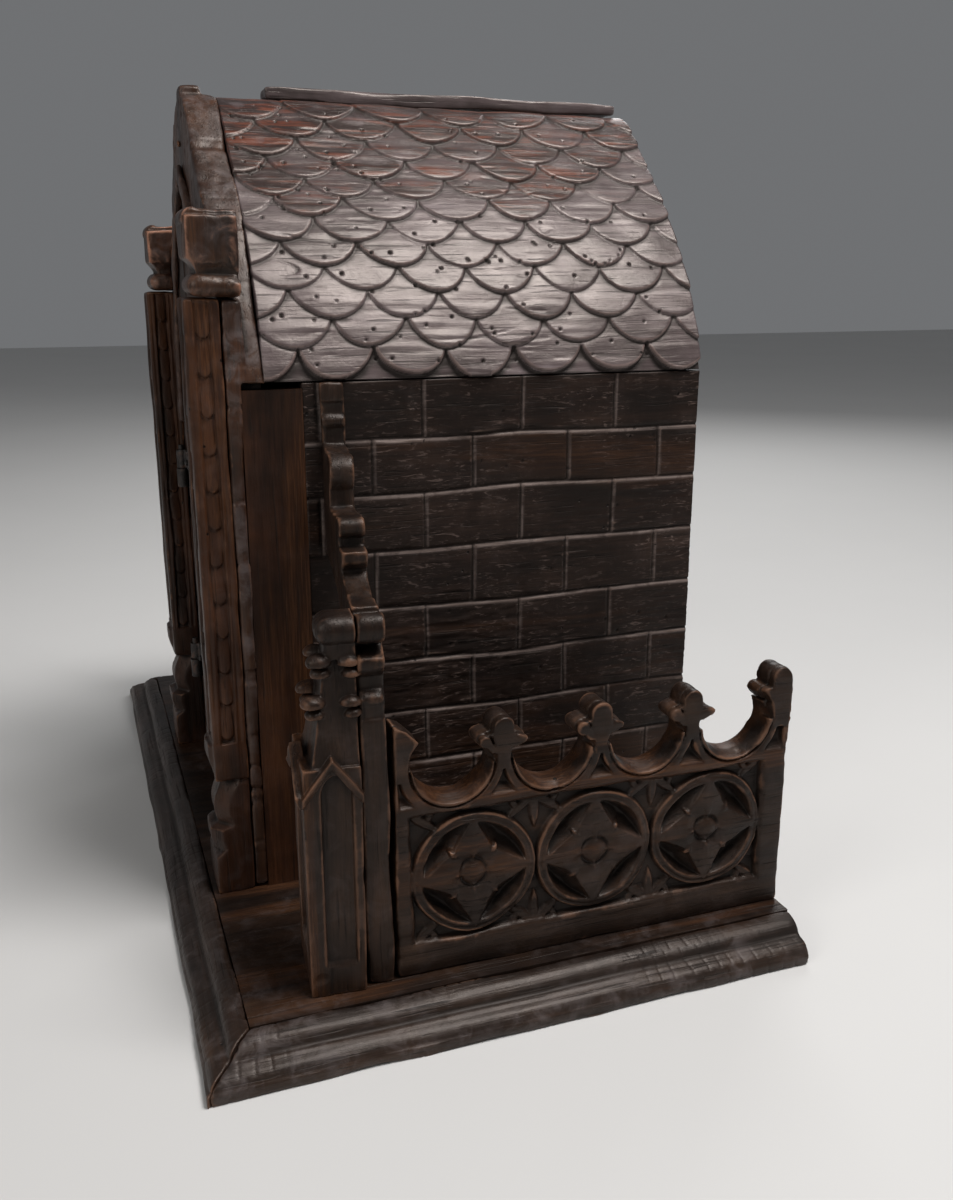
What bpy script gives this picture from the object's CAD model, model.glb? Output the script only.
import bpy
import numpy as np
import openvdb as vdb
from mathutils import Matrix, Vector


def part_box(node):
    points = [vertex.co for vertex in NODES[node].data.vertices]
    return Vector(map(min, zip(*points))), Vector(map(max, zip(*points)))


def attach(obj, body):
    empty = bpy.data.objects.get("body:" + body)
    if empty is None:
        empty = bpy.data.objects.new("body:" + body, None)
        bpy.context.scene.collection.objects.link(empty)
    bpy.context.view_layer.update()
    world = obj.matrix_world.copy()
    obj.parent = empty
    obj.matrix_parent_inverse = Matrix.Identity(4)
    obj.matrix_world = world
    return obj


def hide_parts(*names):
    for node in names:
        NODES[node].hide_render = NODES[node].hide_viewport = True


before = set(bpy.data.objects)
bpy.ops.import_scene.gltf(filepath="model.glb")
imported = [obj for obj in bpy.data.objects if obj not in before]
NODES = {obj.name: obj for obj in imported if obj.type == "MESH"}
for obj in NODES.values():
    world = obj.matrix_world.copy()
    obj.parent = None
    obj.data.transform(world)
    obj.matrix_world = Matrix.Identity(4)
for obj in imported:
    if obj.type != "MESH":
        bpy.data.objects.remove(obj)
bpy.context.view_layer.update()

MM = 1000.0                            # the frame is in metres, the carving here in millimetres
BAND = 9                               # cells of signed distance kept on each side of a surface
OVER = 3                               # fine samples per cell of a height map
COARSE = 1.0


# ---------------------------------------------------------------- solids on a grid, in millimetres
def blur(a, sigma):
    """Gaussian blur of an array; sigma is in cells."""
    if sigma < 0.25:
        return a
    r = max(1, int(2.4 * sigma + 0.5))
    k = np.exp(-0.5 * (np.arange(-r, r + 1) / sigma) ** 2)
    k /= k.sum()
    for ax in range(a.ndim):
        p = np.pad(a, [(r, r) if i == ax else (0, 0) for i in range(a.ndim)], mode="edge")
        out = np.zeros_like(a)
        for j, w in enumerate(k):
            cut = [slice(None)] * a.ndim
            cut[ax] = slice(j, j + a.shape[ax])
            out += np.float32(w) * p[tuple(cut)]
        a = out
    return a


def spline_rows(count, step):
    """Weights that spread a coarse lattice over count samples; step is samples per lattice cell."""
    t = np.arange(count) / step
    i = np.floor(t).astype(int)
    f = t - i
    w = np.zeros((count, i.max() + 4))
    rows = np.arange(count)
    w[rows, i] = (1 - f) ** 3 / 6
    w[rows, i + 1] = (3 * f ** 3 - 6 * f ** 2 + 4) / 6
    w[rows, i + 2] = (-3 * f ** 3 + 3 * f ** 2 + 3 * f + 1) / 6
    w[rows, i + 3] = f ** 3 / 6
    return w


def lattice(shape, steps, seed):
    """Smooth random values over a grid, about -2 to 2; steps are cells per lump along each axis."""
    rng = np.random.default_rng(seed)
    rows = [spline_rows(n, max(s, 1.0)) for n, s in zip(shape, steps)]
    a = rng.standard_normal([w.shape[1] for w in rows])
    for ax, w in enumerate(rows):
        a = np.moveaxis(np.tensordot(w, a, axes=(1, ax)), 0, ax)
    return (a / max(a.std(), 1e-6)).astype(np.float32)


def between(a, g):
    """The values of a 3-D array at fractional places g, from the eight samples round each."""
    i = np.clip(g.astype(int), 0, np.array(a.shape) - 2)
    f = np.clip(g - i, 0, 1)
    out = 0
    for c in range(8):
        o = [(c >> k) & 1 for k in range(3)]
        w = np.ones(len(g))
        for k in range(3):
            w = w * (f[:, k] if o[k] else 1 - f[:, k])
        out = out + w * a[i[:, 0] + o[0], i[:, 1] + o[1], i[:, 2] + o[2]]
    return out


def turned(a, b, angle):
    """Coordinates along and across the direction at that angle in degrees from a towards b."""
    c, s = np.cos(np.radians(angle)), np.sin(np.radians(angle))
    return a * c + b * s, -a * s + b * c


def cuboid(x, y, z, low, high):
    """Signed distances to a box with those corners, in the given coordinates."""
    sides = [np.maximum(a - at, at - b) for at, a, b in zip((x, y, z), low, high)]
    return np.maximum(np.maximum(sides[0], sides[1]), sides[2])


def smin(a, b, k):
    """The union of two solids with a fillet of about k."""
    m = np.clip(0.5 + 0.5 * (b - a) / k, 0, 1)
    return b * (1 - m) + a * m - k * m * (1 - m)


class Block:
    """Signed distances on a grid: negative inside, in millimetres."""

    def __init__(self, low, high, step):
        self.h = step * COARSE
        pad = 4 * self.h
        self.i0 = np.floor((np.array(low) - pad) / self.h).astype(int)
        top = np.ceil((np.array(high) + pad) / self.h).astype(int)
        self.shape = tuple(int(v) for v in top - self.i0 + 1)
        ax = [(self.i0[k] + np.arange(self.shape[k])) * self.h for k in range(3)]
        self.x = ax[0][:, None, None].astype(np.float32)
        self.y = ax[1][None, :, None].astype(np.float32)
        self.z = ax[2][None, None, :].astype(np.float32)
        self.d = np.full(self.shape, BAND * self.h, np.float32)

    def add_node(self, name):
        me = NODES[name].data
        me.calc_loop_triangles()
        co = np.empty(len(me.vertices) * 3, np.float32)
        me.vertices.foreach_get("co", co)
        tri = np.empty(len(me.loop_triangles) * 3, np.int32)
        me.loop_triangles.foreach_get("vertices", tri)
        grid = vdb.FloatGrid.createLevelSetFromPolygons(
            co.reshape(-1, 3) * np.float32(MM), triangles=tri.reshape(-1, 3).astype(np.uint32),
            transform=vdb.createLinearTransform(voxelSize=self.h), halfWidth=BAND)
        a = np.empty(self.shape, np.float32)
        grid.copyToArray(a, ijk=tuple(int(v) for v in self.i0))
        self.d = np.minimum(self.d, a)
        return self

    def lumps(self, size, seed):
        """Random values with lumps of that size in millimetres along x, y and z."""
        return lattice(self.shape, [s / self.h for s in size], seed)

    def clip(self):
        """Keeps the distances within the band that the grid library expects."""
        self.d = np.clip(self.d, -BAND * self.h, BAND * self.h)

    def sample(self, a, p):
        """The values of an array on this grid at points in millimetres."""
        return between(a, p / self.h - self.i0)

    def age(self, seed, grain="z", rounding=0.4, worn=0.4, rough=0.12, lumpy=0.18, dents=0.25):
        """Rounds and wears the edges, and lays fine and broad unevenness over the surface."""
        self.clip()
        d = blur(self.d, rounding / self.h)
        edge = blur(d, 2.2 / self.h) - d
        long = [3.0, 3.0, 3.0]
        long["xyz".index(grain)] = 26.0
        self.d = (d + worn * np.maximum(edge, 0) * (1 + 0.5 * self.lumps([14] * 3, seed))
                  + rough * self.lumps(long, seed + 1)
                  + lumpy * self.lumps([22] * 3, seed + 2)
                  + dents * np.maximum(self.lumps([5.0] * 3, seed + 3) - 1.7, 0))
        return self

    def relief(self, axis, face, sign, depth):
        """Cuts the face at that place along axis ("x" or "y") back by a depth map of (other axis, z)."""
        steep = 1 + np.abs(np.gradient(depth, self.h, axis=0)) + np.abs(np.gradient(depth, self.h, axis=1))
        steep = np.minimum(steep, 2.2)
        if axis == "x":
            cut = (sign * (self.x - face) + depth[None]) / steep[None]
            on = depth[None] > 0.02
        else:
            cut = (sign * (self.y - face) + depth[:, None]) / steep[:, None]
            on = depth[:, None] > 0.02
        self.d = np.maximum(self.d, np.where(on, cut, -99.0))

    def fine(self, axis):
        """Fine sample places over (x or y, z), for a relief's depth map."""
        a = self.x[:, 0, 0] if axis == "x" else self.y[0, :, 0]
        part = self.h * ((np.arange(OVER) + 0.5) / OVER - 0.5)
        u, z = (v[:, None] + part for v in (a, self.z[0, 0]))
        return np.meshgrid(u.ravel(), z.ravel(), indexing="ij")

    def marks(self, size, depth, seed, where=1.0, over=0.7):
        """Chisel cuts: hollows of that size along x, y and z, where a value is 1."""
        self.d = self.d + depth * np.maximum(self.lumps(size, seed) - over, 0) * where

    def scores(self, axis, pitch, depth, seed):
        """Thin cuts across a moulding, one about every pitch along the axis, set off from band to band."""
        band = 9.5
        t = ((self.y if axis == "y" else self.x) + 1.5 * self.lumps([13] * 3, seed)
             + 0.5 * pitch * np.floor(self.z / band)) / pitch
        near = np.abs(t - np.round(t)) * pitch
        where = np.clip(0.45 + 0.6 * self.lumps([26] * 3, seed + 1), 0, 1)
        self.d = self.d + depth * np.exp(-(near / 0.55) ** 2) * where

    def surface(self):
        """The solid's skin: points in millimetres, faces, and how worn and how hollow each point is."""
        self.clip()
        self.d = np.ascontiguousarray(self.d, dtype=np.float32)
        wide = BAND * self.h
        grid = vdb.FloatGrid(wide)
        grid.transform = vdb.createLinearTransform(voxelSize=self.h)
        grid.copyFromArray(self.d, ijk=tuple(int(v) for v in self.i0), tolerance=1e-4)
        points, tris, quads = grid.convertToPolygons(isovalue=0.0, adaptivity=0.0)
        points = np.asarray(points, float)
        wear = self.sample(blur(self.d, 1.3 / self.h), points) / 0.5
        hollow = self.sample(blur(self.d, 3.6 / self.h), points) / 1.3
        faces = [q[::-1] for q in np.asarray(quads).tolist()] + [t[::-1] for t in np.asarray(tris).tolist()]
        return points, faces, wear, -hollow


# ---------------------------------------------------------------- pieces
def sway(points, amount, size, seed):
    """Moves points by a slow random drift, so that straight lines look cut by hand."""
    low = points.min(0)
    span = points.max(0) - low
    steps = 8
    out = points.copy()
    for k in range(3):
        n = [int(span[i] / size) + 5 for i in range(3)]
        a = lattice([(v - 4) * steps + 1 for v in n], [steps] * 3, seed + k)
        out[:, k] += amount * between(a, (points - low) / size * steps)
    return out


def piece(name, points, faces, wear, hollow, nodes, body, slot, material, mirror=False, stain=None):
    """A mesh with its wear, hollow and stain values, riding on a body in place of CAD nodes."""
    co = np.array(points, float) / MM
    co[:, 2] = np.maximum(co[:, 2], 0.0)
    if mirror:
        co[:, 0] *= -1
        faces = [f[::-1] for f in faces]
    me = bpy.data.meshes.new(name)
    me.from_pydata(co.tolist(), [], faces)
    me.update()
    for key, values in (("wear", wear), ("hollow", hollow), ("stain", stain)):
        if values is not None:
            at = me.attributes.new(key, "FLOAT", "POINT")
            at.data.foreach_set("value", np.asarray(values, np.float32))
    me.polygons.foreach_set("use_smooth", np.ones(len(me.polygons), bool))
    me.materials.append(material)
    ob = bpy.data.objects.new(name, me)
    bpy.context.scene.collection.objects.link(ob)
    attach(ob, body)
    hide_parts(*nodes)
    return ob


def both(name, data, slot, wood):
    """The same carving in place of a node on the right-hand side and, mirrored, of its twin on the left."""
    for side in ("right", "left"):
        piece(f"{name}_carved_{side}", *data[:4], [f"{name}_{side}"], "case", slot, M[f"{wood}_{side[0]}"],
              mirror=side == "left", stain=data[4] if data[4:] else None)


def from_node(name, step):
    """A block filled with a CAD node's solid."""
    low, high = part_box(name)
    return Block(np.array(low) * MM, np.array(high) * MM, step).add_node(name)


def carved(node, step, seed, grain="z", drift=0.3, cuts=None, scores=None, clear=None, **age):
    """A CAD node made uneven and worn: cuts are chisel marks, scores thin lines, clear a box kept free."""
    blk = from_node(node, step).age(seed, grain, **age)
    if cuts:
        blk.marks(cuts, 0.42, seed + 20)
    if scores:
        blk.scores(scores, 9.0, 0.30, seed + 30)
    if clear:
        blk.d = np.maximum(blk.d, -cuboid(blk.x, blk.y, blk.z, *clear))
    data = blk.surface()
    return (sway(data[0], drift, 28.0, seed + 50), *data[1:])


# ---------------------------------------------------------------- height maps, in millimetres
def shrink(a):
    """Averages a fine map down by OVER, which smooths the edges of its steps."""
    n, m = a.shape[0] // OVER, a.shape[1] // OVER
    return a[:n * OVER, :m * OVER].reshape(n, OVER, m, OVER).mean((1, 3))


def fine_axis(start, stop, step):
    """Fine sample places, and the coarse ones they average to."""
    n = int(round((stop - start) / step)) + 1
    step = (stop - start) / (n - 1)
    coarse = start + step * np.arange(n)
    fine = (coarse[:, None] + step * ((np.arange(OVER) + 0.5) / OVER - 0.5)).ravel()
    return fine, coarse, step


def pits(shape_axes, spots, radius, depth):
    """Round holes in a height map at the given spots."""
    a, b = shape_axes
    out = np.zeros((len(a), len(b)), np.float32)
    for (p, q), r in zip(spots, radius):
        i = np.flatnonzero(np.abs(a - p) < 2 * r)
        j = np.flatnonzero(np.abs(b - q) < 2 * r)
        if len(i) and len(j):
            dist = np.hypot(a[i][:, None] - p, b[j][None, :] - q) / r
            out[np.ix_(i, j)] = np.maximum(out[np.ix_(i, j)], depth * np.clip(1.6 - 1.6 * dist, 0, 1))
    return out


def map_marks(height, step, holes):
    """Wear and hollow values of a height map, from how it stands against its own blur."""
    wear = (height - blur(height, 1.3 / step)) / 0.30 - holes
    hollow = (blur(height, 3.2 / step) - height) / 0.9 + holes * 1.2
    return wear.ravel(), hollow.ravel()


def slab(front, back_ends):
    """A closed solid: a dense front grid (n, m, 3), and behind it a plain back of (n, 2, 3)."""
    n, m = front.shape[:2]
    points = np.concatenate([front.reshape(-1, 3), back_ends.reshape(-1, 3)])
    at = np.arange(n * m).reshape(n, m)
    b = n * m + np.arange(n * 2).reshape(n, 2)
    quads = [np.stack([at[:-1, :-1], at[:-1, 1:], at[1:, 1:], at[1:, :-1]], -1).reshape(-1, 4),
             np.stack([b[:-1, 1], b[:-1, 0], b[1:, 0], b[1:, 1]], -1),
             np.stack([at[:-1, 0], at[1:, 0], b[1:, 0], b[:-1, 0]], -1),
             np.stack([at[1:, -1], at[:-1, -1], b[:-1, 1], b[1:, 1]], -1)]
    faces = np.concatenate(quads).tolist()
    faces.append([int(v) for v in at[0, ::-1]] + [int(b[0, 0]), int(b[0, 1])])
    faces.append([int(v) for v in at[-1]] + [int(b[-1, 1]), int(b[-1, 0])])
    return points, faces


def closed_slab(front, back, height, step, holes, stain):
    """The slab with the values its material reads; its plain back has none of them."""
    points, faces = slab(front, back)
    rest = np.zeros(back.shape[0] * back.shape[1])
    values = (*map_marks(height, step, holes), stain.ravel())
    return (points, faces, *(np.concatenate([v, rest]) for v in values))


# ---------------------------------------------------------------- materials
class Nodes:
    """Short names for building a node material."""

    def __init__(self, name):
        self.material = bpy.data.materials.new(name)
        self.material.use_nodes = True
        self.tree = self.material.node_tree
        self.shader = self.tree.nodes["Principled BSDF"]

    def put(self, kind, out=0, sets=None, **sockets):
        n = self.tree.nodes.new(kind)
        for key, value in (sets or {}).items():
            setattr(n, key, value)
        for key, value in sockets.items():
            s = n.inputs[int(key[1:])] if key[0] == "i" and key[1:].isdigit() else n.inputs[key.replace("_", " ")]
            self.join(value, s)
        return n.outputs[out]

    def join(self, value, socket):
        if isinstance(value, bpy.types.NodeSocket):
            self.tree.links.new(value, socket)
        else:
            socket.default_value = value

    def math(self, op, a, b=0.0, c=0.0, clamp=False):
        return self.put("ShaderNodeMath", sets={"operation": op, "use_clamp": clamp}, i0=a, i1=b, i2=c)

    def mix(self, f, a, b, blend="MIX"):
        n = self.tree.nodes.new("ShaderNodeMix")
        n.data_type, n.blend_type = "RGBA", blend
        for value, s in ((f, n.inputs[0]), (a, n.inputs[6]), (b, n.inputs[7])):
            self.join(value, s)
        return n.outputs[2]

    def step(self, value, low, high):
        """0 below low, 1 above high, smooth between."""
        return self.put("ShaderNodeMapRange", sets={"interpolation_type": "SMOOTHSTEP"},
                        i0=value, i1=low, i2=high, i3=0.0, i4=1.0)

    def noise(self, at, scale, detail=4.0, rough=0.55, warp=0.0):
        return self.put("ShaderNodeTexNoise", Vector=at, Scale=scale, Detail=detail,
                        Roughness=rough, Distortion=warp)

    def stretched(self, scale, shift=(0.0, 0.0, 0.0)):
        at = self.put("ShaderNodeTexCoord", 3)
        return self.put("ShaderNodeMapping", Vector=at, Scale=scale, Location=shift)

    def value(self, key):
        return self.put("ShaderNodeAttribute", 2, sets={"attribute_name": key})


def rgb(r, g, b):
    return (r, g, b, 1.0)


def oak(name, dark, mid, light, worn, grain="z", wear_at=(0.6, 1.35), wear_by=0.7, bloom=0.2, holes=0.8,
        gloss=0.42, shine=0.22, shift=0.0, fleck=0.0, deep_by=0.85, warm=0.5, carved_piece=True,
        stained=None):
    """Old waxed oak. The tones run along the grain; worn edges are lighter and hollows darker."""
    m = Nodes(name)
    along = {"x": 0, "y": 1, "z": 2}[grain]
    squash, thin, short = [1.0] * 3, [1.0] * 3, [1.0] * 3
    squash[along], thin[along], short[along] = 0.09, 0.035, 0.2
    at = m.stretched(squash, (shift, shift * 0.7, shift * 1.3))
    at_fine = m.stretched(thin, (shift, shift, shift))
    plain = m.stretched([1.0] * 3, (shift, shift, shift))
    bands = m.noise(at, 70.0, 5.0, 0.6, 0.5)
    fibre = m.noise(at_fine, 900.0, 4.0, 0.7)
    pores = m.noise(at_fine, 620.0, 2.0, 0.5, 0.2)
    patch = m.noise(plain, 19.0, 5.0, 0.62, 0.4)
    smear = m.noise(plain, 80.0, 5.0, 0.65, 0.6)
    tone = m.math("ADD", m.math("MULTIPLY", bands, 0.6), m.math("MULTIPLY", patch, 0.5))
    colour = m.mix(m.step(tone, 0.42, 0.60), rgb(*dark), rgb(*mid))
    colour = m.mix(m.step(tone, 0.56, 0.76), colour, rgb(*light))
    colour = m.mix(m.math("MULTIPLY", m.step(fibre, 0.35, 0.75), 0.5), colour, rgb(*light), "OVERLAY")
    dark_pore = m.step(pores, 0.60, 0.70)
    colour = m.mix(m.math("MULTIPLY", dark_pore, 0.6), colour, rgb(*[v * 0.2 for v in dark]))
    if fleck:
        flecks = m.noise(m.stretched(short, (shift, 3.0, shift)), 420.0, 3.0, 0.65, 1.6)
        mask = m.math("MULTIPLY", m.step(flecks, 0.56, 0.68), m.step(patch, 0.36, 0.6))
        colour = m.mix(m.math("MULTIPLY", mask, fleck), colour, rgb(*[v * 1.9 + 0.03 for v in light]))
    # places where the old varnish has rubbed through to a redder brown
    rubbed = m.step(m.noise(at, 26.0, 4.0, 0.6, 0.6), 0.50, 0.66)
    redder = m.mix(m.step(fibre, 0.4, 0.65), rgb(0.034, 0.0125, 0.0055), rgb(0.105, 0.043, 0.0175))
    colour = m.mix(m.math("MULTIPLY", rubbed, warm), colour, redder)
    # a greyish film of old wax in patches
    film = m.math("MULTIPLY", m.step(smear, 0.42, 0.7), m.step(patch, 0.36, 0.62))
    colour = m.mix(m.math("MULTIPLY", film, bloom), colour, rgb(0.115, 0.098, 0.098))
    blot = 0.0
    if stained:
        streaks = m.noise(at, 240.0, 4.0, 0.6, 0.8)
        blot = m.math("MULTIPLY", m.value("stain"), m.math("ADD", 0.85, m.step(smear, 0.34, 0.56)), clamp=True)
        colour = m.mix(m.math("MULTIPLY", blot, 0.95), colour,
                       m.mix(m.step(streaks, 0.46, 0.66), rgb(*stained[0]), rgb(*stained[1])))
    deep = 0.0
    if carved_piece:
        w = m.math("ADD", m.value("wear"), m.math("MULTIPLY", m.math("SUBTRACT", smear, 0.5), 1.9))
        wear_mask = m.step(w, *wear_at)
        worn_tone = m.mix(m.step(patch, 0.38, 0.62), rgb(*worn), rgb(*[v * 0.5 for v in worn]))
        colour = m.mix(m.math("MULTIPLY", wear_mask, wear_by), colour, worn_tone)
        deep = m.step(m.value("hollow"), 0.06, 0.8)
        colour = m.mix(m.math("MULTIPLY", deep, deep_by), colour, rgb(0.005, 0.0035, 0.003))
    # old worm holes, about 2 mm wide
    cells = m.put("ShaderNodeTexVoronoi", 0, Vector=plain, Scale=95.0)
    pick = m.put("ShaderNodeTexVoronoi", 1, Vector=plain, Scale=95.0)
    chosen = m.math("GREATER_THAN", m.put("ShaderNodeSeparateColor", 0, Color=pick), holes)
    hole = m.math("MULTIPLY", m.math("SUBTRACT", 1.0, m.step(cells, 0.07, 0.11)), chosen)
    colour = m.mix(m.math("MULTIPLY", hole, 0.95), colour, rgb(0.003, 0.002, 0.002))
    s = m.shader
    m.join(colour, s.inputs["Base Color"])
    r = m.math("ADD", gloss - 0.14, m.math("MULTIPLY", smear, 0.30))
    r = m.math("ADD", r, m.math("MULTIPLY", m.math("ADD", deep, dark_pore), 0.2))
    m.join(m.math("MINIMUM", r, 0.95), s.inputs["Roughness"])
    s.inputs["Specular IOR Level"].default_value = shine
    s.inputs["Specular Tint"].default_value = rgb(1.0, 0.88, 0.80)
    s.inputs["Coat Weight"].default_value = 0.04
    s.inputs["Coat Roughness"].default_value = 0.25
    height = m.math("ADD", m.math("MULTIPLY", fibre, 0.5), m.math("MULTIPLY", smear, 0.8))
    height = m.math("SUBTRACT", height, m.math("MULTIPLY", dark_pore, 0.45))
    height = m.math("SUBTRACT", height, m.math("MULTIPLY", hole, 2.5))
    bump = m.put("ShaderNodeBump", Strength=0.6, Distance=0.0006, Height=height)
    m.join(bump, s.inputs["Normal"])
    return m.material


def forged(name, shift=0.0):
    """Blackened iron: hammer marks, a brown bloom of rust, brighter rubbed spots."""
    m = Nodes(name)
    at = m.stretched([1.0] * 3, (shift, shift, shift))
    hammer = m.put("ShaderNodeTexVoronoi", 0, sets={"feature": "SMOOTH_F1"}, Vector=at, Scale=150.0)
    grit = m.noise(at, 900.0, 5.0, 0.7)
    rust = m.noise(at, 120.0, 5.0, 0.65, 0.6)
    colour = m.mix(m.step(grit, 0.35, 0.7), rgb(0.022, 0.020, 0.019), rgb(0.06, 0.053, 0.05))
    colour = m.mix(m.math("MULTIPLY", m.step(rust, 0.52, 0.7), 0.75), colour, rgb(0.085, 0.036, 0.018))
    s = m.shader
    m.join(colour, s.inputs["Base Color"])
    m.join(m.math("SUBTRACT", 0.85, m.math("MULTIPLY", m.step(rust, 0.45, 0.7), 0.6)), s.inputs["Metallic"])
    m.join(m.math("ADD", 0.36, m.math("MULTIPLY", grit, 0.35)), s.inputs["Roughness"])
    height = m.math("ADD", m.math("MULTIPLY", hammer, 1.0), m.math("MULTIPLY", grit, 0.3))
    m.join(m.put("ShaderNodeBump", Strength=0.5, Distance=0.0006, Height=height), s.inputs["Normal"])
    return m.material


# the tones of each wood's grain and of its worn edges
DARK = dict(dark=(0.0085, 0.0050, 0.0038), mid=(0.019, 0.0102, 0.0066), light=(0.044, 0.0235, 0.0140),
            worn=(0.115, 0.056, 0.031))
RED = dict(dark=(0.011, 0.0050, 0.0030), mid=(0.029, 0.0115, 0.0060), light=(0.072, 0.028, 0.0125),
           worn=(0.19, 0.082, 0.038))
WALL = dict(dark=(0.0070, 0.0042, 0.0033), mid=(0.0145, 0.0080, 0.0058), light=(0.034, 0.0195, 0.0140),
            worn=(0.10, 0.068, 0.054))
ROOF = dict(dark=(0.044, 0.033, 0.032), mid=(0.092, 0.070, 0.070), light=(0.165, 0.133, 0.136),
            worn=(0.19, 0.135, 0.120))
# the two tones of a stain
RUST = ((0.013, 0.0052, 0.0038), (0.098, 0.0230, 0.0088))
PALE = ((0.16, 0.125, 0.112), (0.09, 0.066, 0.057))


def oaks(key, grain, shift, palette, **more):
    """The same oak twice, for the two sides, its figure moved along."""
    return {f"{key}_{side}": oak(f"{key}_{side}_oak", grain=grain, shift=shift + k * 1.4, **palette, **more)
            for k, side in enumerate("rl")}


M = {
    **oaks("base", "y", 0.0, DARK, bloom=0.45, holes=0.93, shine=0.36, gloss=0.44, warm=0.15),
    "base_x": oak("base_front_oak", grain="x", shift=2.1, bloom=0.45, holes=0.93, shine=0.36, gloss=0.44,
                  warm=0.15, **DARK),
    **oaks("brick", "y", 4.0, WALL, bloom=0.06, fleck=0.9, holes=0.97, deep_by=0.6, shine=0.2, gloss=0.5, warm=0.3,
           stained=PALE),
    **oaks("upright", "z", 6.0, RED, bloom=0.1, holes=0.9, warm=0.6),
    **oaks("cap", "z", 7.0, {**RED, "worn": (0.34, 0.165, 0.105)}, bloom=0.5, holes=0.85, shine=0.4, warm=0.5,
           wear_at=(0.25, 0.95), wear_by=0.85),
    "gable": oak("gable_oak", grain="z", bloom=0.55, shift=8.0, holes=0.9, shine=0.4, warm=0.4, **RED),
    **oaks("roof", "y", 9.0, ROOF, bloom=0.3, gloss=0.34, shine=0.46, holes=0.97, warm=0.0, stained=RUST,
           wear_by=0.5),
    **oaks("fly", "z", 11.0, {**DARK, "worn": (0.17, 0.085, 0.050)}, bloom=0.12, holes=0.93, warm=0.55,
           wear_at=(0.4, 1.15)),
    **oaks("rail", "y", 13.0, {**DARK, "worn": (0.17, 0.085, 0.050)}, bloom=0.12, holes=0.93, warm=0.6,
           wear_at=(0.45, 1.2)),
    "door": oak("door_oak", grain="z", bloom=0.12, shift=15.0, holes=0.92, **DARK),
    "plain": oak("plain_oak", grain="z", bloom=0.04, shift=16.0, holes=0.95, carved_piece=False, shine=0.2, warm=0.7,
                 **RED),
    "board": oak("board_oak", grain="y", bloom=0.2, shift=17.0, holes=0.95, carved_piece=False, **DARK),
    "batten": oak("batten_oak", grain="x", bloom=0.12, shift=18.0, carved_piece=False, **DARK),
    "iron": forged("black_iron"),
    "iron_rubbed": forged("rubbed_iron", 2.0),
}

# ---------------------------------------------------------------- roof and brick walls
# the roof's section as in the CAD: an arc up from the eave, a rise at 45 degrees, an arc over the ridge
EAVE_A, ROOF_R, RIDGE_R, ROOF_T = np.radians(15.2), 227.0, 45.0, 12.0
roof_low, roof_high = (np.array(v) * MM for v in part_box("roof_right"))
WALL_X = float(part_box("brick_wall_right")[1].x) * MM
EAVE_Z = float(roof_low[2])
ROOF_CX = WALL_X - ROOF_R * np.cos(EAVE_A)
ROOF_CZ = EAVE_Z - ROOF_R * np.sin(EAVE_A)
RIDGE_CZ = ROOF_CX + ROOF_CZ + (ROOF_R - RIDGE_R) * np.sqrt(2)
ARC_L = ROOF_R * (np.pi / 4 - EAVE_A)
RISE_L = (ROOF_CX + (ROOF_R - RIDGE_R) / np.sqrt(2)) * np.sqrt(2)
SLOPE_L = ARC_L + RISE_L + RIDGE_R * np.pi / 4


def roof_line(s):
    """Points and outward normals of the roof's section at distances s up the slope."""
    a = np.where(s < ARC_L, EAVE_A + s / ROOF_R,
                 np.where(s < ARC_L + RISE_L, np.pi / 4, np.pi / 4 + (s - ARC_L - RISE_L) / RIDGE_R))
    a = np.minimum(a, np.pi / 2)
    up = np.clip(s - ARC_L, 0, RISE_L) / np.sqrt(2)
    x = np.where(s < ARC_L + RISE_L, ROOF_CX + ROOF_R * np.cos(a) - up, RIDGE_R * np.cos(a))
    z = np.where(s < ARC_L + RISE_L, ROOF_CZ + ROOF_R * np.sin(a) + up, RIDGE_CZ + RIDGE_R * np.sin(a))
    return np.stack([x, z], -1), np.stack([np.cos(a), np.sin(a)], -1)


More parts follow.
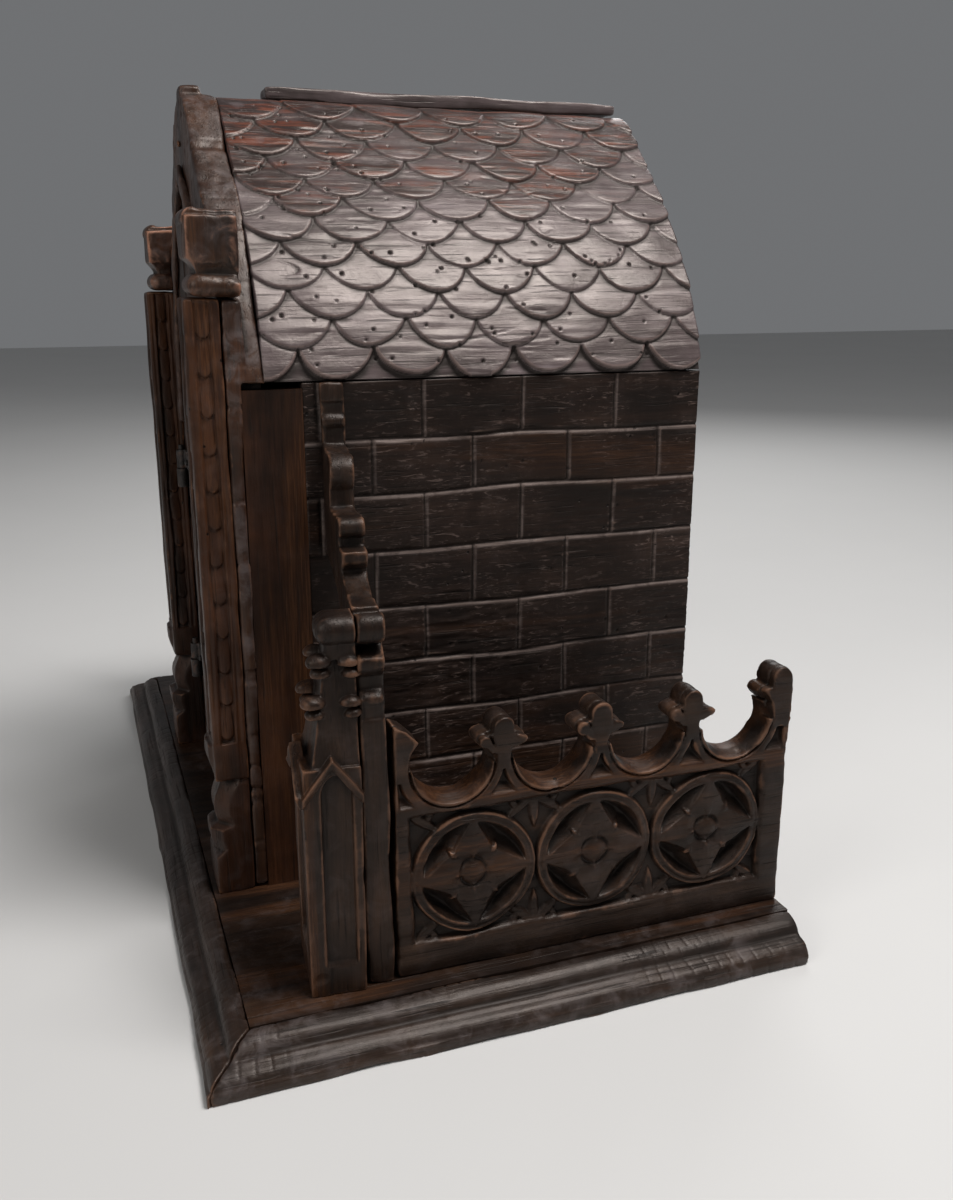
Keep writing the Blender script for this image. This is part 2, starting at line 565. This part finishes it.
def roof_slab(seed, step=0.8):
    """The roof's right half: rows of overlapping scales laid up the slope, with worm holes and cracks."""
    rows, pitch, width, lift = 12, 16.45, 43.6, 3.2
    rng = np.random.default_rng(seed)
    s, s_coarse, _ = fine_axis(0.0, SLOPE_L, step * COARSE)
    y, y_coarse, cell = fine_axis(roof_low[1], roof_high[1], step * COARSE)
    fine = cell / OVER
    shape = (len(s), len(y))
    sway_y = 0.9 * lattice(shape, [26 / fine] * 2, seed + 1)
    sway_s = 0.7 * lattice(shape, [20 / fine] * 2, seed + 2)
    yy, ss = y[None, :] + sway_y, s[:, None] + sway_s
    h = np.full(shape, -1.0, np.float32)
    above = np.full(shape, 99.0, np.float32)
    stain = np.zeros(shape, np.float32)
    first_red = 6    # the rows above this one keep patches of a redder varnish
    for k in range(rows):
        s0 = 1.4 + k * pitch
        first = -17 + (0 if k % 2 == 0 else width / 2)
        j = np.round((yy - first) / width)
        ids = (j + 8).astype(int)
        jit = rng.uniform(-1, 1, (4, 24))
        dy = yy - first - j * width - 0.8 * jit[0][ids]
        r = width / 2 + 0.9 + 0.25 * jit[1][ids]
        b = s0 + 0.9 * jit[2][ids] + r - np.sqrt(np.maximum(r * r - dy * dy, 0.05 * r * r)) * (r + 0.6) / r
        t = ss - b
        rise = lift * (1 + 0.16 * jit[3][ids])
        top = (rise * (1 - (ss - s0) / (2.15 * pitch)) - 0.0010 * dy * dy
               + 0.012 * jit[1][ids] * dy - 0.75 * np.exp(-np.maximum(t, 0) / 0.7))
        top = np.where(ss > SLOPE_L - 14, -1.0, top)
        cover = t > 0
        above = np.where(cover, 99.0, np.minimum(above, np.where(t > -6, -t, 99.0)))
        h = np.where(cover, top, h)
        redness = np.clip(0.95 + 0.5 * jit[2][ids] + 0.2 * (k - 8) - 0.0022 * (yy + 101), 0, 1) * (k >= first_red)
        body = (np.clip((t - 1.2) / 1.2, 0, 1) * np.clip((12.5 - t) / 5, 0, 1)
                * np.clip((19 - np.abs(dy)) / 4, 0, 1))
        stain = np.where(cover, redness * (0.5 + 0.5 * body), stain)
    h = h - 0.55 * np.exp(-above / 0.8) * (above < 90)
    grain = lattice(shape, [2.2 / fine, 24 / fine], seed + 4)
    cuts = (lattice(shape, [1.3 / fine, 7 / fine], seed + 5)
            * (0.6 + 0.5 * lattice(shape, [30 / fine] * 2, seed + 6)))
    h += 0.10 * grain - 0.30 * np.clip(cuts - 1.25, 0, 1.2) + 0.22 * lattice(shape, [11 / fine] * 2, seed + 7)
    # drying cracks along the grain
    line = lattice(shape, [9 / fine, 60 / fine], seed + 8)
    where = lattice(shape, [40 / fine, 26 / fine], seed + 9)
    h -= 0.8 * np.exp(-(line / 0.045) ** 2) * np.clip(where - 0.9, 0, 1)
    worms = 150
    spots = np.stack([rng.uniform(8, SLOPE_L - 25, worms), rng.uniform(y[0] + 4, y[-1] - 4, worms)], -1)
    holes = pits((s, y), spots, rng.uniform(0.65, 1.15, worms), 1.0)
    h -= 2.2 * holes
    h, holes, stain = shrink(h), shrink(holes), shrink(stain)
    line_at, normal = roof_line(s_coarse)
    front = np.empty(h.shape + (3,))
    front[..., 0] = np.maximum(line_at[:, :1] + normal[:, :1] * h, 0.0)
    front[..., 1] = y_coarse[None, :]
    front[..., 2] = line_at[:, 1:] + normal[:, 1:] * h
    front[0, :, 2] = EAVE_Z
    back = np.empty((len(s_coarse), 2, 3))
    back[:, :, 0] = (line_at[:, 0] - ROOF_T * normal[:, 0])[:, None]
    back[:, 0, 1], back[:, 1, 1] = y_coarse[0], y_coarse[-1]
    back[:, :, 2] = np.maximum(line_at[:, 1] - ROOF_T * normal[:, 1], EAVE_Z)[:, None]
    back[:, :, 0] = np.maximum(back[:, :, 0], 0.0)
    return closed_slab(front, back, h, cell, holes, stain)


def brick_slab(seed, step=0.95):
    """The right wall, carved as courses of bricks in running bond and tooled all over."""
    low, high = (np.array(v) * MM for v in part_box("brick_wall_right"))
    heights, length = [33, 32, 34.5, 35.5, 34, 33.5, 34, 34], 62
    rng = np.random.default_rng(seed)
    z, z_coarse, _ = fine_axis(low[2], high[2], step * COARSE)
    y, y_coarse, cell = fine_axis(low[1], high[1], step * COARSE)
    fine = cell / OVER
    shape = (len(z), len(y))
    yy = y[None, :] + 0.45 * lattice(shape, [30 / fine, 60 / fine], seed + 1)
    zz = z[:, None] + 0.55 * lattice(shape, [60 / fine, 34 / fine], seed + 2)
    tops = high[2] - np.concatenate([[0], np.cumsum(heights)])
    course = np.clip(np.searchsorted(-tops, -zz, side="left") - 1, 0, len(heights))
    edges = np.concatenate([tops, [low[2] - 20]])
    to_bed = np.minimum(np.where(course > 0, edges[course] - zz, 99), np.abs(zz - edges[course + 1]))
    start = -10 + np.where(course % 2 == 0, 0, length / 2)
    brick = np.floor((yy - start) / length)
    along = yy - start - brick * length
    to_head = np.minimum(along, length - along)
    jit = rng.uniform(-1, 1, (3, 12, 16))
    c, b = course, (brick + 4).astype(int)
    h = 0.28 * jit[0][c, b] - 0.3 + 0.005 * jit[1][c, b] * (along - length / 2) + 0.012 * jit[2][c, b] * to_bed
    wide = 0.85 + 0.2 * lattice(shape, [12 / fine] * 2, seed + 3)
    gap = np.minimum(to_bed, to_head * 1.15)
    # the lower lip of each joint catches the light
    lip = np.exp(-((edges[course] - zz - 1.5) / 0.75) ** 2) * (course > 0) * np.clip(
        0.85 + 0.35 * lattice(shape, [30 / fine, 25 / fine], seed + 11), 0, 1)
    lip = np.maximum(lip, 0.5 * np.exp(-((along - 1.3) / 0.55) ** 2))
    h -= 1.05 * np.clip(1.3 - gap / wide, 0, 1)
    h -= 0.30 * np.exp(-gap / 2.2)
    ripple = lattice(shape, [1.5 / fine, 13 / fine], seed + 4)
    h += 0.32 * np.abs(ripple) * (0.8 + 0.4 * lattice(shape, [30 / fine, 40 / fine], seed + 9)) - 0.27
    h += 0.16 * lattice(shape, [14 / fine, 20 / fine], seed + 5)
    cuts = (lattice(shape, [1.3 / fine, 6 / fine], seed + 6)
            * (0.7 + 0.4 * lattice(shape, [28 / fine] * 2, seed + 7)))
    h -= 0.32 * np.clip(cuts - 1.2, 0, 1.2)
    worms = 26
    spots = np.stack([rng.uniform(low[2] + 90, high[2] - 4, worms), rng.uniform(y[0] + 4, y[-1] - 4, worms)], -1)
    holes = pits((z, y), spots, rng.uniform(0.6, 0.95, worms), 1.0)
    h = shrink(np.minimum(h, 0.0) - 2.0 * holes)
    holes = shrink(holes)
    front = np.empty(h.shape + (3,))
    front[..., 0], front[..., 1], front[..., 2] = high[0] + h, y_coarse[None, :], z_coarse[:, None]
    back = np.empty((len(z_coarse), 2, 3))
    back[:, :, 0], back[:, :, 2] = low[0], z_coarse[:, None]
    back[:, 0, 1], back[:, 1, 1] = y_coarse[0], y_coarse[-1]
    return closed_slab(front, back, h, cell, holes, shrink(lip))


def balustrade_block(seed, step=0.68):
    """The board with its cresting, and the carving of the sunk panel cut into its outer face."""
    low, high = (np.array(v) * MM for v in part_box("balustrade_right"))
    face = high[0]
    py0, py1, pz0, pz1 = -57.0, 156.0, 40.0, 115.0          # the sunk panel, along y and z
    hollow_y, hollow_z, hollow_r = [-33.25 + 56.5 * k for k in range(4)], 142.0, 21.5
    heads = (-5.0, 51.5, 108.0)
    ring_r, inner_r, groove_r, tip_r, boss_r = 35.6, 29.6, 32.9, 34.5, 6.7
    blk = from_node("balustrade_right", step)
    plug = cuboid(blk.x, blk.y, blk.z, (face - 9, py0 - 1, pz0 - 1), (face, py1 + 1, pz1 + 1))
    blk.d = np.minimum(blk.d, plug)
    yy, zz = blk.fine("y")
    shape = yy.shape
    cell = blk.h / OVER
    yy = yy + 0.5 * lattice(shape, [18 / cell] * 2, seed + 1)
    zz = zz + 0.5 * lattice(shape, [18 / cell] * 2, seed + 2)
    raised = np.zeros(shape)
    zc = (pz0 + pz1) / 2
    pitch = (py1 - py0) / 3

    def petal(cy, cz, angle, length, width, tall):
        """A leaf with a crease along its middle, pointed at its far end."""
        u, v = turned(yy - cy, zz - cz, angle)
        half = width * np.sqrt(np.clip(u / length, 0, 1)) * np.clip(1 - u / length, 0, 1) * 1.9
        t = 1 - np.abs(v) / np.maximum(half, 1e-3)
        body = np.clip(t * 2.2, 0, 1) * (0.72 + 0.28 * np.abs(v) / np.maximum(half, 1e-3))
        return tall * body * (u > 0) * (u < length)

    for gap in range(4):
        gy = py0 + gap * pitch
        for side, cz in ((1, pz0), (-1, pz1)):
            for off in (-1, 1):
                if (gap == 0 and off < 0) or (gap == 3 and off > 0):
                    continue
                raised = np.maximum(raised, petal(gy + off * 1.5, cz, side * (90 - off * 52), 20, 4.6, 2.9))
                raised = np.maximum(raised, petal(gy + off * 13.5, cz, side * (90 + off * 38), 11, 3.2, 2.4))
            if gap in (1, 2):
                raised = np.maximum(raised, petal(gy, cz, side * 90, 19, 5.0, 3.2))
    for k in range(3):
        cy = py0 + (k + 0.5) * pitch
        dy, dz = yy - cy, zz - zc
        r = np.hypot(dy, dz)
        disc = np.clip((ring_r - r) / 0.8, 0, 1)
        # the ring: flat, with a thin groove inside its rim
        body = 4.5 - 0.9 * np.exp(-((r - groove_r) / 0.55) ** 2)
        # the star: four ridged arms, each with a leaf laid on it, and a cusp between each pair
        arm = np.minimum(np.abs(dy), np.abs(dz))
        out = np.maximum(np.abs(dy), np.abs(dz))
        within = np.clip((30.5 - r) / 2, 0, 1)
        rib = np.exp(-(arm / 0.8) ** 2) * np.clip((out - 8) / 2, 0, 1) * np.clip((tip_r - out) / 3, 0, 1)
        body = body + within * (0.8 - 0.17 * np.minimum(arm, 9)) + 0.6 * rib - 1.5 * np.clip((14 - r) / 6, 0, 1)
        for q in (0, 90, 180, 270):
            u, v = turned(dy, dz, q)
            leaf = np.clip((3.4 - np.abs(v) - 0.20 * np.abs(u - 15)) / 0.8, 0, 1) * (np.abs(u - 15) < 9)
            body = body + leaf * (0.9 - 0.45 * np.abs(v))
        for q in (45, 135, 225, 315):
            u, v = turned(dy, dz, q)
            # the sinking: steep on the ring's side, a longer slope up to the edge of the star
            to_star = ((u - 17.0) * 24 - np.abs(v) * 6.6) / 24.9
            to_ring = inner_r - r
            lens = np.minimum(to_ring, to_star)
            spur = 3.6 - 0.95 * np.abs(u - 16.6) - 1.7 * np.abs(v)
            lens = np.where(spur > 0, np.minimum(lens, -spur), lens)
            body = body + 1.0 * np.clip(spur / 1.2, 0, 1)
            deep = np.clip(lens / 0.6, 0, 1) * 1.3 + np.minimum(1.7 * to_ring, 0.95 * to_star) * (lens > 0)
            body = np.where(lens > 0, body - np.minimum(deep, 7.6), body + 0.5 * np.exp(lens / 0.7))
        boss = np.clip((boss_r - r) / 0.9, 0, 1)
        body = body * (1 - boss) + boss * (5.2 - 0.05 * r * r)
        body = body - 1.4 * np.exp(-((r - 7.6) / 0.7) ** 2)
        raised = np.where(disc > 0, raised * (1 - disc) + body * disc, raised)
    frame_in = np.minimum(np.minimum(yy - py0, py1 - yy), np.minimum(zz - pz0, pz1 - zz))
    depth = (np.clip((frame_in + 1.6) / 1.6, 0, 1) * 1.1
             + np.clip(frame_in / 1.2, 0, 1) * np.maximum(3.9 - raised, -1.1))
    # small ledged pockets under the heads of the cresting
    scallops = np.min([np.hypot(yy - at, zz - hollow_z) for at in hollow_y], 0) - 28.4
    bound = np.minimum(np.minimum(yy + 62.5, 169.0 - yy), np.minimum(zz - 121.0, 136 - zz))
    pocket = np.clip(np.minimum(scallops, bound) / 0.7, 0, 1)
    depth = np.maximum(depth, pocket * np.clip((zz - 120.6) / 6.0, 0, 1) * 4.6)
    blk.relief("x", face, 1, shrink(depth).astype(np.float32))
    # the hollows of the cresting are bevelled towards the face
    inside = np.maximum(blk.x - face, low[0] - blk.x)
    back = np.clip((face - blk.x) / 9.0, 0, 1) * np.clip((141 - blk.z) / 12.0, 0, 1)
    for at in hollow_y:
        r = np.hypot(blk.y - at, blk.z - hollow_z)
        lip = np.maximum(np.maximum(hollow_r - 2.6 * back - r, r - 23.5), np.maximum(inside, blk.z - 141.0))
        blk.d = np.minimum(blk.d, lip)
    # heads of the cresting, cut across the whole thickness: a log, a small log and a beak
    for fin in heads:
        small = np.hypot(blk.y - (fin - 10.6), blk.z - 151.4) - 3.9
        stem = np.abs(blk.y - (fin - 7.0) + 0.9 * (blk.z - 148.0)) * 0.74 - 2.4
        stem = np.maximum(stem, np.abs(blk.z - 148.5) - 4.0)
        t = np.clip((blk.y - fin - 6.5) / 4.5, 0, 1)
        beak = np.hypot(blk.y - fin - 6.5 - 4.5 * t, blk.z - 150.9 - 0.5 * t) - (4.6 - 1.5 * t)
        head = np.hypot(blk.y - fin, blk.z - 157.0) - 6.2
        for part, k in ((stem, 0.5), (small, 0.35), (beak, 0.4), (head, 0.35)):
            blk.d = smin(blk.d, np.maximum(part, inside), k)
        # the beak is flat on top
        flat = np.maximum(155.4 - 0.36 * (blk.y - fin - 5.5) - blk.z,
                          np.maximum(fin + 5.8 - blk.y, blk.y - fin - 18))
        blk.d = np.maximum(blk.d, -flat)
        for side in (-1, 1):
            cleft = np.hypot((blk.y - fin) * side - 6.9, blk.z - 153.6)
            blk.d = blk.d + 0.8 * np.exp(-(cleft / 1.1) ** 2)
    # a groove round the heads of the cresting
    high_up = np.clip((blk.z - 146) / 2, 0, 1)
    blk.d = blk.d + 1.0 * np.exp(-((blk.x - (face - 5.5)) / 0.7) ** 2) * high_up
    return blk


def pilaster_block(seed, step=0.62):
    """The shaft with a column of overlapping scales sunk in its front and in both flanks."""
    blk = from_node("pilaster_right", step)
    z0, z1, front = 120.0, 372.0, -142.0
    high = np.array(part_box("pilaster_right")[1]) * MM
    x0, x1 = high[0] - 33.0, high[0]
    mid_x, mid_y = (x0 + x1) / 2, front + 9.6
    pitch = (z1 - z0) / 12
    depth = 2.5
    corner_r = 2.6

    def strip(u, z, half, wobble):
        """How deep the strip is cut at u across and z up: to its full depth beside the scales."""
        rise = np.mod(z - z0 - 2, pitch)
        r = half - 0.7
        side = np.abs(u)
        foot = np.where(rise < r, np.sqrt(np.maximum(r * r - (r - rise) ** 2, 0)), r)
        tongue = np.clip((foot - side) / 0.5, 0, 1)
        top = 0.15 + 1.75 * np.clip(rise / pitch, 0, 1) + 0.03 * side ** 2 + wobble
        inside = np.clip((half - side) / 0.5, 0, 1) * (z > z0) * (z < z1)
        return (inside * np.where(tongue > 0, depth * (1 - tongue) + top * tongue, depth)).astype(np.float32)

    blk.d = np.minimum(blk.d, cuboid(blk.x, blk.y, blk.z, (x0, front, z0 - 1), (x1, front + 16, z1 + 1)))
    corner = np.hypot(np.maximum(np.abs(blk.x - mid_x) - (x1 - x0) / 2 + corner_r, 0),
                      np.maximum(front + corner_r - blk.y, 0)) - corner_r
    blk.d = np.maximum(blk.d, np.where(blk.z > z0, corner, -99.0))
    cell = blk.h / OVER
    for axis, face, sign, mid, half in (("x", x1, 1, mid_y, 4.5), ("x", x0, -1, mid_y, 4.5),
                                        ("y", front, -1, mid_x, 6.2)):
        u, z = blk.fine("y" if axis == "x" else "x")
        sway_u = 0.35 * lattice(u.shape, [14 / cell] * 2, seed + 3)
        sway_z = 0.5 * lattice(u.shape, [12 / cell] * 2, seed + 4)
        wobble = 0.12 * lattice(u.shape, [6 / cell] * 2, seed + 5)
        blk.relief(axis, face, sign, shrink(strip(u - mid + sway_u, z + sway_z, half, wobble)))
        # quirks that part the corner beads from the strips
        quirk = np.exp(-((np.abs(u - mid) - half - 2.2) / 0.55) ** 2) * 0.9 * (z > z0) * (z < z1)
        blk.relief(axis, face, sign, shrink(quirk.astype(np.float32)))
    return blk


def pier_block(step=0.5):
    """The pier at the buttress's foot, carved in the buttress's own turned frame (u outwards, v back)."""
    low, high = (np.array(v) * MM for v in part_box("pier_right"))
    blk = Block(low - 2, high + 2, step)
    turn, pivot_x, pivot_y = -5.4, 138, -65.5
    u, v = turned(blk.x - pivot_x, blk.y - pivot_y, turn)
    z = blk.z
    foot, hood, u0, u1, v0, v1 = float(low[2]), 138.0, 74.0, 125.0, -35.6, -6.0
    mid_u, mid_v = (u0 + u1) / 2, (v0 + v1) / 2
    sill, spire_top, head_z = 38.0, 212, 220.0

    def lancet(across, half, top):
        """Distances inside a round-headed panel that stands on the sill."""
        bow = half * np.sqrt(np.clip(1 - np.clip((z - top) / (1.5 * half), 0, 1) ** 2, 0, 1))
        return np.minimum(bow - np.abs(across), z - sill)

    d = cuboid(u, v, z, (u0, v0, foot), (u1, v1, hood + 13))
    side_panel = lancet(v + 18.8, 8.2, hood - 3)
    for face, inner in ((u - u1, side_panel), (v0 - v, lancet(u - mid_u, 16, hood - 12)), (u0 - u, side_panel)):
        sink = np.clip(inner / 0.8, 0, 1) * 2.4 * np.clip((z - sill) / 3.5, 0, 1)
        d = np.maximum(d, np.where(inner > 0, face + sink, -99.0))
    # the spirelet
    t = np.clip((z - hood - 12) / (spire_top - hood - 12), 0, 1)
    spire = np.maximum(np.maximum(u0 + 3 + (mid_u - u0 - 2) * t - u, u - (u1 - 2 - 7 * t)),
                       np.maximum(v0 + 5 + 10 * t - v, v - v1))
    d = np.minimum(d, np.maximum(spire, np.maximum(hood + 10 - z, z - 216)))
    # hoods of the gablets, leaning out over the lancets
    for across, out, half in ((v - mid_v, u - u1, 15.6), (u - mid_u, v0 - v, 26.0), (v - mid_v, u0 - u, 15.6)):
        ridge = hood + 19.5 - (20.5 / half) * np.abs(across)
        under = ridge - z
        arm = np.maximum(np.maximum(-under, under - 6.4) * 0.72, np.abs(across) - half)
        d = np.minimum(d, np.maximum(arm, np.maximum(out - 4.4 + 0.42 * np.clip(under, 0, 6), -3 - out)))

    def lobe(cu, cv, cz, ru, rv, rz):
        """Half of a leaf: an ellipsoid, flat below."""
        q = np.sqrt(((u - cu) / ru) ** 2 + ((v - cv) / rv) ** 2 + ((z - cz) / rz) ** 2)
        return np.maximum((q - 1) * rz, cz - 0.45 * rz - z)

    # crockets: leaves of two lobes on the arrises of the spirelet
    for cz, cv, inward in ((184.0, -28.2, 5.6), (204.5, -24.4, 8.0)):
        for cu, side in ((u1 - 2 - inward * 0.75, 1), (u0 + 9 + inward * 2.2, -1)):
            d = smin(d, lobe(cu, cv, cz, 5.6, 6.4, 4.2), 0.6)
            d = smin(d, lobe(cu - side * 0.6, cv + 0.8, cz - 6.2, 5.0, 5.2, 3.4), 0.6)
        # where the board's mouldings run on over the spirelet
        d = smin(d, lobe(u1 - 2.5 - inward * 0.55, -9.5, cz - 0.5, 4.6, 6.0, 3.4), 0.5)
        d = smin(d, lobe(u1 - 2.5 - inward * 0.55, -8.5, cz - 6.4, 4.4, 5.0, 3.0), 0.5)
    # the head: a roll returned along the front
    out = np.hypot(np.maximum(np.maximum(mid_u + 6 - u, u - 115.6), 0), np.maximum(-18.5 - v, 0))
    head = np.maximum(np.hypot(out, z - head_z) - 7.3, v - v1)
    neck = np.maximum(out - 3.6, np.maximum(np.maximum(206 - z, z - 218), v - v1))
    blk.d = np.minimum(smin(d, neck, 1.5), head).astype(np.float32)
    return blk


# ---------------------------------------------------------------- the carved woodwork
both("roof", roof_slab(100), "roof_oak", "roof")
both("brick_wall", brick_slab(200), "dark_oak", "brick")
both("pilaster", pilaster_block(300).age(350, "z", rounding=0.35, worn=0.35, lumpy=0.12).surface(),
     "red_oak", "upright")
both("capital", carved("capital_right", 0.5, 400, "z", rounding=0.35, worn=0.6, lumpy=0.2, dents=0.5),
     "red_oak", "cap")
both("buttress", carved("buttress_right", 0.75, 500, "z"), "dark_oak", "fly")
both("pier", pier_block().age(600, "z", rounding=0.22, worn=0.2, lumpy=0.1).surface(), "dark_oak", "fly")
both("balustrade", balustrade_block(700).age(750, "y", rounding=0.28, worn=0.35, lumpy=0.12).surface(),
     "dark_oak", "rail")
MOULDED = dict(drift=0.15, rounding=0.3, lumpy=0.12)
both("base_moulding", carved("base_moulding_right", 0.72, 800, "y", scores="y", **MOULDED), "dark_oak", "base")
# the bolt needs room in the gable board's edge when it is thrown by 12 mm
bolt_low, bolt_high = (np.array(v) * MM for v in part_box("lock_bolt"))
REACH, ROOM = 15.0, 1.3
BOLT_WAY = (bolt_low - ROOM, bolt_high + [REACH, ROOM, ROOM])
for node, step, seed, grain, slot, mat, more in (
        ("base_moulding_front", 0.72, 900, "x", "dark_oak", "base_x", dict(scores="x", **MOULDED)),
        ("gable_board", 1.0, 1000, "z", "red_oak", "gable", dict(cuts=(2.6, 40, 2.6), clear=BOLT_WAY)),
        ("arch_hood", 0.7, 1100, "z", "red_oak", "gable", {}),
        ("gable_tracery", 0.5, 1200, "z", "red_oak", "gable", {}),
        ("back_board", 1.4, 1300, "z", "dark_oak", "door", {}),
        ("ridge_batten", 0.8, 1400, "y", "roof_oak", "roof_r", {})):
    piece(node + "_carved", *carved(node, step, seed, grain, **more), [node], "case", slot, M[mat])
for node, seed in (("door_board_hinge", 1500), ("door_board_middle", 1600), ("door_board_lock", 1700)):
    piece(node + "_carved", *carved(node, 1.0, seed, "z"), [node], "door", "dark_oak", M["door"])
for node, seed in (("strap_lower", 1800), ("strap_upper", 1900)):
    piece(node + "_forged", *carved(node, 0.5, seed, "x", drift=0.1, rounding=0.3, worn=0.2, lumpy=0.08,
                                    rough=0.08, dents=0.1), [node], "door", "iron", M["iron"])

# ---------------------------------------------------------------- nodes whose shape is right
for node, mat in (("base_board", "board"), ("plain_board_right", "plain"), ("plain_board_left", "plain"),
                  ("door_batten_lower", "batten"), ("door_batten_upper", "batten"),
                  ("rail_dowels_right", "plain"), ("rail_dowels_left", "plain"),
                  ("pintle_lower", "iron"), ("pintle_upper", "iron"), ("pintle_nails", "iron_rubbed"),
                  ("strike_plate", "iron"), ("strap_nails", "iron_rubbed"), ("ring_plate", "iron"),
                  ("escutcheon", "iron"), ("lock_case", "iron"), ("ring_handle", "iron_rubbed"),
                  ("key", "iron_rubbed"), ("lock_bolt", "iron_rubbed")):
    ob = NODES[node]
    ob.data.materials.clear()
    ob.data.materials.append(M[mat])
    bevel = ob.modifiers.new("edges", "BEVEL")
    bevel.width = 0.0007 if mat in ("board", "plain", "batten") else 0.0003    # metres: wood, then iron
    bevel.segments = 2
    bevel.limit_method = "ANGLE"

# ---------------------------------------------------------------- floor, light and camera
m = Nodes("pale_floor")
cloud = m.noise(m.stretched([1.0] * 3), 3.0, 4.0)
m.join(m.mix(cloud, rgb(0.56, 0.555, 0.545), rgb(0.60, 0.595, 0.585)), m.shader.inputs["Base Color"])
m.shader.inputs["Roughness"].default_value = 0.8
me = bpy.data.meshes.new("floor")
me.from_pydata([(-6, -6, 0), (6, -6, 0), (6, 6, 0), (-6, 6, 0)], [], [(0, 1, 2, 3)])
me.materials.append(m.material)
floor = bpy.data.objects.new("floor", me)
bpy.context.scene.collection.objects.link(floor)


def softbox(name, at, towards, size, watts, tint=(1.0, 1.0, 1.0)):
    data = bpy.data.lights.new(name, "AREA")
    data.shape, data.size, data.size_y = "RECTANGLE", size[0], size[1]
    data.energy, data.color = watts, tint
    ob = bpy.data.objects.new(name, data)
    bpy.context.scene.collection.objects.link(ob)
    ob.location = at
    ob.rotation_euler = (Vector(towards) - Vector(at)).to_track_quat("-Z", "Y").to_euler()


softbox("overhead", (0.58, 0.47, 1.70), (0.05, 0.0, 0.27), (0.75, 0.65), 33.0, (1.0, 0.98, 0.97))
softbox("front_fill", (1.0, -1.8, 1.2), (0.05, 0.0, 0.25), (1.0, 1.0), 14.0, (1.0, 0.975, 0.94))
softbox("back_fill", (-1.5, 1.2, 1.4), (0.0, 0.0, 0.25), (1.0, 1.0), 13.0)
world = bpy.data.worlds.new("studio")
world.use_nodes = True
world.node_tree.nodes["Background"].inputs[0].default_value = rgb(0.80, 0.82, 0.85)
world.node_tree.nodes["Background"].inputs[1].default_value = 0.20
bpy.context.scene.world = world
bpy.context.scene.view_settings.view_transform = "Standard"

# the photo's viewpoint, fitted to points measured on it
camera = bpy.data.cameras.new("camera")
camera.sensor_fit, camera.sensor_height, camera.lens = "VERTICAL", 36.0, 33.684
camera.clip_start = 0.01
eye = Vector((0.7639, -0.2052, 0.3859))
forward = Vector((-0.9024, 0.3288, -0.2783)).normalized()
right = forward.cross(Vector((0, 0, 1))).normalized()
up = right.cross(forward)
ob = bpy.data.objects.new("camera", camera)
bpy.context.scene.collection.objects.link(ob)
ob.matrix_world = Matrix((
    (right.x, up.x, -forward.x, eye.x),
    (right.y, up.y, -forward.y, eye.y),
    (right.z, up.z, -forward.z, eye.z),
    (0, 0, 0, 1)))
bpy.context.scene.camera = ob
